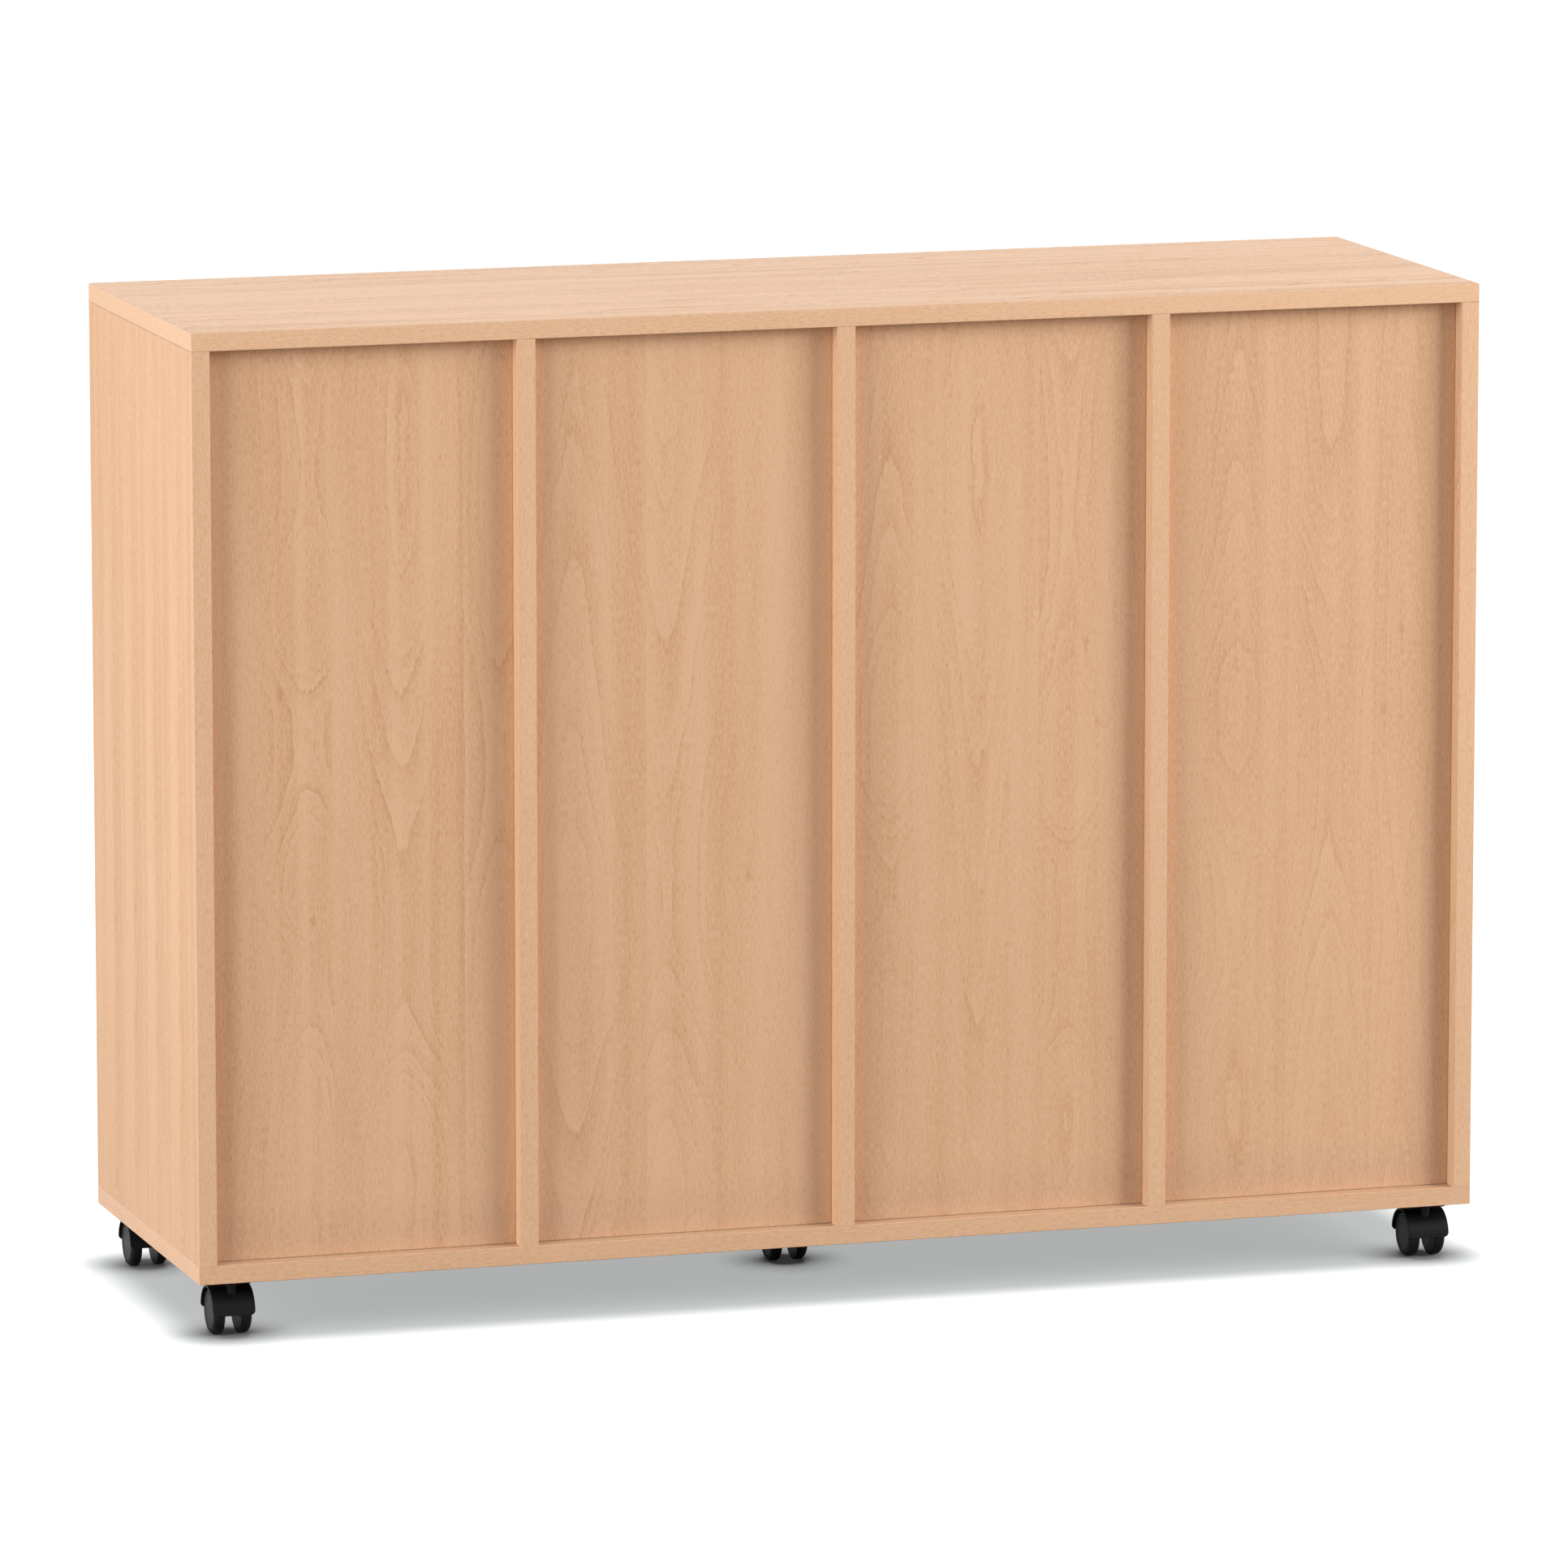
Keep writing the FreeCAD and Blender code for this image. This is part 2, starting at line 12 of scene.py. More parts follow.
import bmesh
import bpy
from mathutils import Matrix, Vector


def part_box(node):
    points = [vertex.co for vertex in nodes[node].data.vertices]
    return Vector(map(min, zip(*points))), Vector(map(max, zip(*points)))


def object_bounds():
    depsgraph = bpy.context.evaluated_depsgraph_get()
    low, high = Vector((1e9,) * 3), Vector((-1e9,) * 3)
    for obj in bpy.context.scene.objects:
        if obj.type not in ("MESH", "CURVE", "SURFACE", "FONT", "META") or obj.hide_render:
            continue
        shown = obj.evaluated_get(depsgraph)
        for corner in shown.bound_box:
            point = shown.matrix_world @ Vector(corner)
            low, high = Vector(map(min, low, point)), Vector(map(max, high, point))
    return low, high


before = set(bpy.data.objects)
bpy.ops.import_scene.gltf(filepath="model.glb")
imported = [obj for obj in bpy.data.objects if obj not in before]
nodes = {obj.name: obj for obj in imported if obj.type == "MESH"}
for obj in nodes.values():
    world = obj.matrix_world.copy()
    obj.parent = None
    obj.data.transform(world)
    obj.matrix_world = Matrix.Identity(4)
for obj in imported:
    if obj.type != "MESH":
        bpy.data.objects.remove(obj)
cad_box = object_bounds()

low, high = Vector(cad_box[0]), Vector(cad_box[1])
print("pieces:", len(nodes), "size in metres:", [round(side, 3) for side in high - low])

# %% [markdown]
# ## Helpers for materials
#
# A procedural material is a graph of small nodes. Writing each node by hand takes four or five lines, so
# a few helpers do it. One adds any node and fills or links its inputs. Another adds a Math node and hands
# back its result, so that formulas read almost like plain arithmetic.

# %% Node helpers
def add_node(tree, kind, inputs=None, **settings):
    """Adds a node. Inputs are given by name or number, as plain values or as other nodes' outputs."""
    node = tree.nodes.new(kind)
    for name, value in settings.items():
        setattr(node, name, value)
    for key, value in (inputs or {}).items():
        if isinstance(value, bpy.types.NodeSocket):
            tree.links.new(value, node.inputs[key])
        else:
            node.inputs[key].default_value = value
    return node


def calc(tree, operation, *values):
    """Adds a Math node and returns its result."""
    inputs = dict(enumerate(values))
    return add_node(tree, "ShaderNodeMath", inputs, operation=operation).outputs[0]


def total(tree, first, *others):
    """Adds up any number of values."""
    for other in others:
        first = calc(tree, "ADD", first, other)
    return first


def vector(tree, x, y, z):
    """Joins three numbers into one vector."""
    return add_node(tree, "ShaderNodeCombineXYZ", {0: x, 1: y, 2: z}).outputs[0]


print("node helpers ready")

# %% Pattern helpers
# Soft noise seldom leaves this range.
NOISE_LOW, NOISE_HIGH = 0.3, 0.7


def noise(tree, where, detail=2.0):
    """Soft noise from 0 to 1, read at a vector whose unit is one blotch."""
    inputs = {"Vector": where, "Scale": 1.0, "Detail": detail, "Roughness": 0.5}
    return add_node(tree, "ShaderNodeTexNoise", inputs).outputs[0]


def noise_along(tree, where):
    """Soft noise from 0 to 1 along one line."""
    inputs = {"W": where, "Scale": 1.0, "Detail": 1.0}
    return add_node(tree, "ShaderNodeTexNoise", inputs, noise_dimensions="1D").outputs[0]


def chance(tree, number):
    """One random value from 0 to 1 for each whole number, the same on every run."""
    return add_node(tree, "ShaderNodeTexWhiteNoise", {"W": number}, noise_dimensions="1D").outputs[0]


def stretch(tree, value, from_low, from_high, to_low, to_high, curve="LINEAR"):
    """Maps one range to another, held at the ends."""
    inputs = {0: value, 1: from_low, 2: from_high, 3: to_low, 4: to_high}
    return add_node(tree, "ShaderNodeMapRange", inputs, interpolation_type=curve).outputs[0]


def blend(tree, share, first, second, how="MIX"):
    """Mixes two colours."""
    inputs = {"Factor": share, "A": first, "B": second}
    node = add_node(tree, "ShaderNodeMix", inputs, data_type="RGBA", blend_type=how)
    return node.outputs["Result"]


print("pattern helpers ready")

# %% Material helpers
X, Y, Z = 0, 1, 2


def new_material(name):
    """An empty node material, with its node tree and its Principled shader."""
    material = bpy.data.materials.new(name)
    material.use_nodes = True
    tree = material.node_tree
    return material, tree, tree.nodes["Principled BSDF"]


def part_place(tree):
    """The shaded point in the part's own frame."""
    return add_node(tree, "ShaderNodeTexCoord").outputs["Object"]


def part_axes(tree):
    """X, Y and Z of the shaded point, in the part's own frame."""
    return add_node(tree, "ShaderNodeSeparateXYZ", {0: part_place(tree)}).outputs


def dress(node_name, material):
    """Gives a carried-over solid its finish."""
    slots = nodes[node_name].data.materials
    slots.clear()
    slots.append(material)


print("material helpers ready")

# %% [markdown]
# ## Growth rings
#
# Beech decor is a print of flat-sawn staves glued side by side. A flat-sawn face cuts the tree's growth
# rings almost along their skin, so the rings show as long nested arches and eyes. An image would do, but it
# repeats and blurs. Here the rings are worked out as they grow: a tree tapers, so each ring is a slim cone
# round the pith, and a point of the face is on the ring of its distance from the pith line plus how deep
# the pith lies below the face. Where the depth rises along the board the arches close upwards, where it
# falls they close downwards. Three noises make the rings wander: a slow drift, waves, and across the grain
# the small teeth that flat-sawn beech has.

# %% Ring sizes
RING_WIDTH = 0.0105
RING_CORE = 0.016
RING_DRIFT = (0.005, 0.060, 0.22)
RING_WAVES = (0.0022, 0.012, 0.060)
RING_TEETH = (0.0018, 0.0028, 0.032)
WANDER_STEP = 20.0
PACE_SCALE, PACE_SWING = 0.5, 1.6
RING_STEP = 7.0
RING_FAINTEST = 0.25
RING_PROFILE = ((0.05, 0.0), (0.15, 0.80), (0.26, 0.60), (0.55, 0.36), (0.92, 0.22))
RING_END = 0.02
print("rings of", 1000 * RING_WIDTH, "mm")

# %% Ring profile
def curve_of(tree, value, start, between, end):
    """Reads a value off a smooth curve through the given points."""
    node = add_node(tree, "ShaderNodeFloatCurve", {"Value": value})
    points = node.mapping.curves[0].points
    for point in between:
        points.new(*point)
    points[0].location = start
    points[-1].location = end
    node.mapping.update()
    return node.outputs[0]


def wander(tree, across, along, seed, reach, width, length):
    """Soft noise from minus to plus the reach, in blotches of the given width and length."""
    blotch = vector(tree, calc(tree, "DIVIDE", across, width), calc(tree, "DIVIDE", along, length), seed)
    return calc(tree, "MULTIPLY", calc(tree, "SUBTRACT", noise(tree, blotch), 0.5), 2 * reach)


print("ring helpers ready")

# %% Ring group
def ring_group():
    """Node group: how dark the growth rings are at a point of the face, from 0 to 1."""
    tree = bpy.data.node_groups.new("growth_rings", "ShaderNodeTree")
    for name in ("Across", "Along", "Depth", "Seed"):
        tree.interface.new_socket(name, in_out="INPUT", socket_type="NodeSocketFloat")
    tree.interface.new_socket("Rings", in_out="OUTPUT", socket_type="NodeSocketFloat")
    across, along, depth, seed = list(tree.nodes.new("NodeGroupInput").outputs)[:4]

    radius = calc(tree, "SQRT", calc(tree, "MULTIPLY_ADD", across, across, RING_CORE ** 2))
    radius = calc(tree, "ADD", radius, depth)
    for step, (reach, width, length) in enumerate((RING_DRIFT, RING_WAVES, RING_TEETH)):
        shifted = calc(tree, "ADD", seed, step * WANDER_STEP)
        radius = calc(tree, "ADD", radius, wander(tree, across, along, shifted, reach, width, length))
    ring = calc(tree, "DIVIDE", radius, RING_WIDTH)
    pace = noise_along(tree, calc(tree, "MULTIPLY_ADD", ring, PACE_SCALE, seed))
    ring = calc(tree, "MULTIPLY_ADD", pace, PACE_SWING, ring)

    ends = (0.0, RING_END), RING_PROFILE, (1.0, RING_END)
    dark = curve_of(tree, calc(tree, "FRACT", ring), *ends)
    number = total(tree, calc(tree, "FLOOR", ring), calc(tree, "MULTIPLY", seed, RING_STEP))
    strength = stretch(tree, chance(tree, number), 0.0, 1.0, RING_FAINTEST, 1.0)
    group_out = tree.nodes.new("NodeGroupOutput")
    tree.links.new(calc(tree, "MULTIPLY", dark, strength), group_out.inputs[0])
    return tree


rings = ring_group()
print("ring group nodes:", len(rings.nodes))

# %% [markdown]
# ## The beech finish
#
# Over the rings lie finer things: fibres that run with the grain, pores, short dark rays that are the mark
# of beech, and slow changes of tone. All of them stretch along the grain, so they read the same two
# coordinates as the rings. Each one moves a single darkness up or down, and a ramp turns that into colour.
# The foil is satin, a little less smooth in the fibres, with a very shallow emboss. A board may also have
# dark joint lines, and painted shade in an inner corner, darker and greyer than the open face.

# %% Beech colours
BEECH_PALE = (0.735, 0.452, 0.275, 1.0)
BEECH_MID = (0.685, 0.405, 0.235, 1.0)
BEECH_LINE = (0.565, 0.305, 0.160, 1.0)
BEECH_RAY = (0.42, 0.22, 0.12, 1.0)
BEECH_JOINT = (0.16, 0.085, 0.05, 1.0)
# Painted shade: the colour that multiplies an inner corner, darker and greyer than the open face.
PAINTED_CORNER_SHADE = (0.863, 0.878, 0.927, 1.0)
WHITE = (1.0, 1.0, 1.0, 1.0)
MID_PLACE = 0.35
BASE_DARK = 0.34
print("beech runs from", BEECH_PALE[:3], "to", BEECH_LINE[:3])

# %% Grain sizes
FINE_LOW, FINE_HIGH = 0.25, 0.75
FIBRE_WIDTH, FIBRE_LENGTH, FIBRE_DARK = 0.0010, 0.045, 0.20
PORE_WIDTH, PORE_LENGTH, PORE_DARK = 0.0013, 0.0070, 0.36
TONE_WIDTH, TONE_LENGTH, TONE_DARK = 0.09, 0.50, 0.10
BAND_WIDTH, BAND_LENGTH = 0.022, 1.10
RAY_WIDTH, RAY_LENGTH, RAY_SHARE = 0.0007, 0.0045, 0.22
RAY_START, RAY_FULL = 0.68, 0.80
PATCH_WIDTH, PATCH_LENGTH = 0.055, 0.24
PATCH_START, PATCH_FULL, PATCH_FAINT = 0.38, 0.62, 0.35
PITH_NEAR, PITH_FAR, PITH_FAINT = 0.010, 0.055, 0.28
RING_MEAN = 0.27
FIGURE_DEPTH = 0.080
FOIL_LOW, FOIL_HIGH = 0.2, 0.8
FOIL_SMOOTH, FOIL_ROUGH = 0.42, 0.54
EMBOSS_STRENGTH, EMBOSS_HEIGHT = 0.12, 0.00012

# How one board differs from another: its tone, how strongly rings and bands show, how coarse its grain is
# across, its gloss, its tint, and the colour of the painted shade in its inner corner.
Finish = namedtuple("Finish", "tone rings bands coarse gloss tint shade",
                    defaults=(0.0, 1.0, 0.17, 1.0, 0.16, WHITE, PAINTED_CORNER_SHADE))
print("a board's finish says:", Finish._fields)

# %% Beech surface
def beech_surface(tree, shader, across, along, depth, seed, finish, extra=0.0, joint=0.0, corner=0.0):
    """Colour, gloss and emboss of a beech face, from coordinates across and along its grain. Corner paints
    shade.
    """
    inputs = {"Across": across, "Along": along, "Depth": depth, "Seed": seed}
    figure = add_node(tree, "ShaderNodeGroup", inputs, node_tree=rings).outputs[0]

    def streaks(width, length, detail):
        beside = calc(tree, "DIVIDE", across, width)
        return noise(tree, vector(tree, beside, calc(tree, "DIVIDE", along, length), seed), detail)

    fibre = streaks(FIBRE_WIDTH * finish.coarse, FIBRE_LENGTH, detail=3.0)
    pore = streaks(PORE_WIDTH * finish.coarse, PORE_LENGTH, detail=1.0)
    tone = streaks(TONE_WIDTH, TONE_LENGTH, detail=2.0)
    band = streaks(BAND_WIDTH, BAND_LENGTH, detail=2.0)
    ray = streaks(RAY_WIDTH, RAY_LENGTH, detail=0.0)
    ray = stretch(tree, ray, RAY_START, RAY_FULL, 0.0, 1.0)
    patch = streaks(PATCH_WIDTH, PATCH_LENGTH, detail=1.0)
    patch = stretch(tree, patch, PATCH_START, PATCH_FULL, PATCH_FAINT, 1.0)
    near = stretch(tree, calc(tree, "ABSOLUTE", across), PITH_NEAR, PITH_FAR, 1.0, PITH_FAINT)

    dark = calc(tree, "MULTIPLY", calc(tree, "SUBTRACT", figure, RING_MEAN), finish.rings)
    dark = calc(tree, "MULTIPLY", calc(tree, "MULTIPLY", dark, patch), near)
    dark = total(tree, dark,
                 stretch(tree, band, NOISE_LOW, NOISE_HIGH, -finish.bands, finish.bands),
                 stretch(tree, fibre, FINE_LOW, FINE_HIGH, -FIBRE_DARK, FIBRE_DARK),
                 stretch(tree, pore, FINE_LOW, FINE_HIGH, -PORE_DARK, PORE_DARK),
                 stretch(tree, tone, NOISE_LOW, NOISE_HIGH, -TONE_DARK, TONE_DARK),
                 calc(tree, "ADD", extra, finish.tone + BASE_DARK))

    ramp = add_node(tree, "ShaderNodeValToRGB", {"Fac": dark})
    stops = ramp.color_ramp.elements
    stops[0].color = BEECH_PALE
    stops[1].color = BEECH_LINE
    stops.new(MID_PLACE).color = BEECH_MID
    colour = blend(tree, calc(tree, "MULTIPLY", ray, RAY_SHARE), ramp.outputs[0], BEECH_RAY)
    colour = blend(tree, joint, colour, BEECH_JOINT)
    # Painted shade: the corner share multiplies the colour by the board's shade colour.
    colour = blend(tree, corner, colour, finish.shade, "MULTIPLY")
    colour = blend(tree, 1.0, colour, finish.tint, "MULTIPLY")
    rough = stretch(tree, fibre, FOIL_LOW, FOIL_HIGH, FOIL_SMOOTH, FOIL_ROUGH)
    relief = {"Strength": EMBOSS_STRENGTH, "Distance": EMBOSS_HEIGHT,
              "Height": calc(tree, "SUBTRACT", fibre, ray)}
    emboss = add_node(tree, "ShaderNodeBump", relief)
    tree.links.new(colour, shader.inputs["Base Color"])
    tree.links.new(rough, shader.inputs["Roughness"])
    tree.links.new(emboss.outputs[0], shader.inputs["Normal"])
    shader.inputs["Specular IOR Level"].default_value = finish.gloss


print("beech surface ready")

# %% [markdown]
# ## Faces with a chosen figure
#
# The back panels and the side by the viewer show distinct staves. A Stave says where its left edge and its
# pith line lie, how much darker it is than the panel, and how deep the pith lies at some heights. Places
# and heights are shares of the panel, depths are shares of the deepest one. They were chosen so that
# the arches fall about where the real panels have them. An even repeat would show the same arch on every
# panel. A curve holds the depths, and a comparison picks the stave.

# %% Staves of the back panels
Stave = namedtuple("Stave", "left pith tone depths")

BACK_STAVE_SHARES = {
    4: [
        Stave(0.000, 0.333, 0.05, [(0, .15), (.2, .35), (.33, .6), (.40, .2), (.5, .45), (.58, .6),
                                   (.71, .2), (.85, .5), (1, .3)]),
        Stave(0.406, 0.629, 0.00, [(0, .3), (.095, .15), (.31, .95), (.6, .55), (.88, .1), (1, .4)]),
        Stave(0.825, 0.940, -0.02, [(0, .5), (.3, .3), (.55, .6), (.8, .3), (1, .5)]),
    ],
    3: [
        Stave(0.000, 0.148, 0.04, [(0, .9), (.2, .45), (.35, .12), (.5, .3), (.75, .62), (.93, .95),
                                   (1, 1)]),
        Stave(0.382, 0.448, 0.00, [(0, .12), (.03, .1), (.2, .5), (.37, .95), (.6, .7), (.8, .4),
                                   (.95, .12), (1, .1)]),
    ],
    2: [
        Stave(0.000, 0.145, 0.05, [(0, .5), (.17, .15), (.3, .5), (.38, .75), (.52, .25), (.7, .5),
                                   (.9, .8), (1, .9)]),
        Stave(0.224, 0.435, -0.02, [(0, 1), (.1, .85), (.4, .6), (.6, .38), (.83, .1), (.95, .25),
                                    (1, .4)]),
        Stave(0.634, 0.729, 0.03, [(0, .35), (.1, .12), (.25, .6), (.38, .6), (.5, .15), (.62, .4),
                                   (.8, .6), (1, .2)]),
    ],
    1: [
        Stave(0.000, 0.261, 0.00, [(0, .5), (.12, .2), (.3, .6), (.45, .35), (.57, .08), (.62, .2),
                                   (.75, .6), (1, .95)]),
        Stave(0.434, 0.575, -0.01, [(0, .3), (.25, .6), (.5, .95), (.65, .75), (.85, .2), (1, .1)]),
        Stave(0.717, 0.818, 0.03, [(0, .3), (.3, .5), (.6, .4), (1, .6)]),
    ],
}
print("staves of the backs:", [len(staves) for staves in BACK_STAVE_SHARES.values()])

# %% Staves of the near side
SIDE_STAVE_SHARES = [
    Stave(0.000, 0.198, 0.03, [(0, .3), (.2, .5), (.45, .2), (.55, .5), (.8, .3), (1, .6)]),
    Stave(0.280, 0.396, 0.00, [(0, .6), (.3, .3), (.5, .2), (.7, .3), (.86, .15), (.95, .7), (1, .9)]),
    Stave(0.517, 0.610, -0.02, [(0, .5), (.15, .75), (.27, .95), (.45, .3), (.58, .12), (.75, .35),
                                (.9, .7), (1, .9)]),
    Stave(0.734, 0.844, -0.01, [(0, .4), (.2, .1), (.26, .12), (.36, .5), (.52, .8), (.58, .95),
                                (.64, .8), (.87, .35), (1, .15)]),
]
print("staves of the side:", len(SIDE_STAVE_SHARES))

# %% [markdown]
# ## Knots and joint lines
#
# A few pin knots sit in the backs. Each is a small dark oval, given by its place across, its height and how
# dark it is. Where two pieces meet there is a thin dark line. It is strongest at the foot and head of a
# back panel, weaker at its sides, and hardly seen between glued boards.

# %% Knots and joint lines
Knot = namedtuple("Knot", "across height weight")

BACK_KNOT_SHARES = {
    4: [Knot(0.340, 0.373, 1.0), Knot(0.238, 0.620, 0.8)],
    3: [Knot(0.713, 0.397, 1.0)],
    2: [Knot(0.790, 0.634, 0.8), Knot(0.830, 0.545, 0.8)],
    1: [Knot(0.755, 0.545, 0.8), Knot(0.810, 0.634, 0.7), Knot(0.261, 0.600, 0.5), Knot(0.261, 0.655, 0.5)],
}
KNOT_WIDTH, KNOT_LENGTH, KNOT_DARK = 0.0045, 0.009, 0.50
SEAM_HALF = 0.0014
SEAM_FOOT, SEAM_SIDE, SEAM_TIGHT, SEAM_EDGED = 0.80, 0.40, 0.12, 0.10
GROOVE_REACH = 0.0048
# Height over which the painted shade at the foot of a back fades out.
PAINTED_SHADE_HEIGHT = 0.060


def knot_spot(tree, across, along, place, height, weight):
    """Dark oval round one place of a face, fading out to its rim."""
    beside = calc(tree, "DIVIDE", calc(tree, "SUBTRACT", across, place), KNOT_WIDTH)
    above = calc(tree, "DIVIDE", calc(tree, "SUBTRACT", along, height), KNOT_LENGTH)
    spread = total(tree, calc(tree, "MULTIPLY", beside, beside), calc(tree, "MULTIPLY", above, above))
    return stretch(tree, spread, 0.0, 1.0, KNOT_DARK * weight, 0.0)


def seam(tree, coordinate, place, strength):
    """Dark line where two pieces meet, fading out within its half width."""
    off = calc(tree, "ABSOLUTE", calc(tree, "SUBTRACT", coordinate, place))
    return stretch(tree, off, 0.0, SEAM_HALF, strength, 0.0)


print("knots:", sum(len(knots) for knots in BACK_KNOT_SHARES.values()))

# %% Chosen figure
def pick_stave(tree, across, height_share, width, staves):
    """Pith line, depth and tone of the stave that a point lies on."""
    chosen = None
    for stave in staves:
        depth = curve_of(tree, height_share, stave.depths[0], stave.depths[1:-1], stave.depths[-1])
        here = (stave.pith * width, depth, stave.tone)
        if chosen is None:
            chosen = here
            continue
        inside = calc(tree, "GREATER_THAN", across, stave.left * width)
        mixes = [{"Factor": inside, "A": a, "B": b} for a, b in zip(chosen, here)]
        chosen = [add_node(tree, "ShaderNodeMix", mix).outputs["Result"] for mix in mixes]
    return chosen


def figured_beech(node_name, axis, staves, seed, finish, from_high=False, inset=0.0, knots=()):
    """Beech with chosen staves, counted along an axis from its high or low end. A panel may be inset."""
    material, tree, shader = new_material(f"beech_{node_name}")
    start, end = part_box(node_name)
    width, height = end[axis] - start[axis], end.z - start.z
    xyz = part_axes(tree)
    along = xyz[Z]
    across = calc(tree, "SUBTRACT", xyz[axis], start[axis])
    if from_high:
        across = calc(tree, "SUBTRACT", end[axis], xyz[axis])
    height_share = calc(tree, "DIVIDE", calc(tree, "SUBTRACT", along, start.z), height)
    pith, depth, tone = pick_stave(tree, across, height_share, width, staves)
    spots = [knot_spot(tree, across, along, knot.across * width, start.z + knot.height * height,
                       knot.weight) for knot in knots]

    foot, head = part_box("base_panel")[1].z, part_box("top_panel")[0].z
    strength = SEAM_FOOT if inset else SEAM_TIGHT
    lines = [seam(tree, along, foot, strength), seam(tree, along, head, strength)]
    corner = 0.0
    if inset:
        lines += [seam(tree, across, limit, SEAM_SIDE) for limit in (inset, width - inset)]
        # Painted shade at the foot of an inset back, fading out upwards.
        corner = stretch(tree, along, foot, foot + PAINTED_SHADE_HEIGHT, 1.0, 0.0)
    beech_surface(tree, shader, calc(tree, "SUBTRACT", across, pith), along,
                  calc(tree, "MULTIPLY", depth, FIGURE_DEPTH), seed, finish,
                  extra=total(tree, tone, *spots), joint=total(tree, *lines), corner=corner)
    dress(node_name, material)


print("chosen figure ready")

# %% Dress the backs and the near side
LIVELY, PALE, CALM = Finish(rings=1.2, bands=0.27), Finish(tone=-0.10), Finish()
BACK_FINISHES = {4: LIVELY, 3: PALE, 2: CALM, 1: CALM}
BACK_SEED, SIDE_SEED = 3.0, 21.0
SIDE = Finish(rings=0.6, bands=0.26, gloss=0.10)

for number, staves in BACK_STAVE_SHARES.items():
    figured_beech(f"back_panel_{number}", X, staves, BACK_SEED * number, BACK_FINISHES[number],
                  from_high=True, inset=GROOVE_REACH, knots=BACK_KNOT_SHARES[number])
figured_beech("side_right", Y, SIDE_STAVE_SHARES, SIDE_SEED, SIDE)
print("figured faces:", len(BACK_STAVE_SHARES) + 1)

# %% [markdown]
# ## Plain boards and edging
#
# The other boards need no chosen figure, but they must not look alike. Their staves are counted off across
# the board, and a random value for the stave's number gives each one its own pith line, while soft noise
# along the grain gives its depth. The edging is the same print on a narrow strip, so it shows mostly
# fibres. The ledge of the base behind the backs gets painted shade, darker and greyer than the open print.

# %% Free figure
STAVE_WIDTH = 0.115
STAVE_SHIFT, STAVE_JUMP = 0.37, 9.7
PITH_LOW, PITH_HIGH = 0.15, 0.85
DEPTH_PACE = 0.33
DEPTH_LOW, DEPTH_HIGH = 0.06, 0.9


def free_beech(node_name, across_axis, along_axes, seed, finish=Finish(), seams=(), ledge=None):
    """Beech whose staves fall by chance. Along adds up the given axes. A ledge of painted shade starts at
    that Y.
    """
    material, tree, shader = new_material(f"beech_{node_name}")
    xyz = part_axes(tree)
    across = xyz[across_axis]
    along = total(tree, *[xyz[axis] for axis in along_axes])
    position = calc(tree, "ADD", calc(tree, "DIVIDE", across, STAVE_WIDTH), seed * STAVE_SHIFT)
    stave = calc(tree, "FLOOR", position)
    stave_seed = calc(tree, "ADD", stave, seed)
    pith = stretch(tree, chance(tree, stave_seed), 0.0, 1.0, PITH_LOW, PITH_HIGH)
    from_pith = calc(tree, "SUBTRACT", calc(tree, "FRACT", position), pith)
    pace = calc(tree, "MULTIPLY_ADD", stave, STAVE_JUMP, calc(tree, "DIVIDE", along, DEPTH_PACE))
    depth = noise_along(tree, calc(tree, "ADD", pace, seed))
    depth = stretch(tree, depth, NOISE_LOW, NOISE_HIGH, DEPTH_LOW, DEPTH_HIGH)
    lines = total(tree, 0.0, *[seam(tree, across, place, SEAM_EDGED) for place in seams])
    # Painted shade on the ledge behind the backs, from that Y on.
    corner = calc(tree, "GREATER_THAN", xyz[Y], ledge) if ledge else 0.0
    beech_surface(tree, shader, calc(tree, "MULTIPLY", from_pith, STAVE_WIDTH), along,
                  calc(tree, "MULTIPLY", depth, FIGURE_DEPTH), stave_seed, finish,
                  joint=lines, corner=corner)
    dress(node_name, material)


print("free figure ready")

# %% Dress the plain boards
# Painted light: the walls of the bays are tinted paler and cooler than the other boards, against the warm
# light bounced inside the bays.
WALL_PAINTED_PALER = Finish(tint=(1.02, 1.09, 1.13, 1.0))
# Painted shade on the ledge behind the backs: darker and greyer than the open print.
LEDGE_IN_PAINTED_SHADE = Finish(shade=(0.82, 0.91, 0.97, 1.0))
# Painted light and sheen: the top's tint makes it paler and whiter than the other boards, over its real
# gloss.
TOP_WITH_PAINTED_SHEEN = Finish(tone=-0.05, rings=1.6, bands=0.45, coarse=4.0, gloss=0.6, tint=(1.16, 1.20, 1.24, 1.0))
LEFT_SEED, DIVIDER_SEED, TOP_SEED, BASE_SEED, SHELF_SEED = 31.0, 40.0, 51.0, 57.0, 60.0
BAYS, LEVELS = (1, 2, 3, 4), (1, 2)

free_beech("side_left", Y, [Z], LEFT_SEED, WALL_PAINTED_PALER)
for number in BAYS[:-1]:
    free_beech(f"divider_{number}", Y, [Z], DIVIDER_SEED + number, WALL_PAINTED_PALER)
free_beech("top_panel", Y, [X], TOP_SEED, TOP_WITH_PAINTED_SHEEN)
free_beech("base_panel", Y, [X], BASE_SEED, LEDGE_IN_PAINTED_SHADE, ledge=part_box("back_panel_1")[1].y)
for bay in BAYS:
    for level in LEVELS:
        free_beech(f"shelf_{bay}_{level}", Y, [X], SHELF_SEED + len(LEVELS) * bay + level)
print("shelves dressed:", len(BAYS) * len(LEVELS))

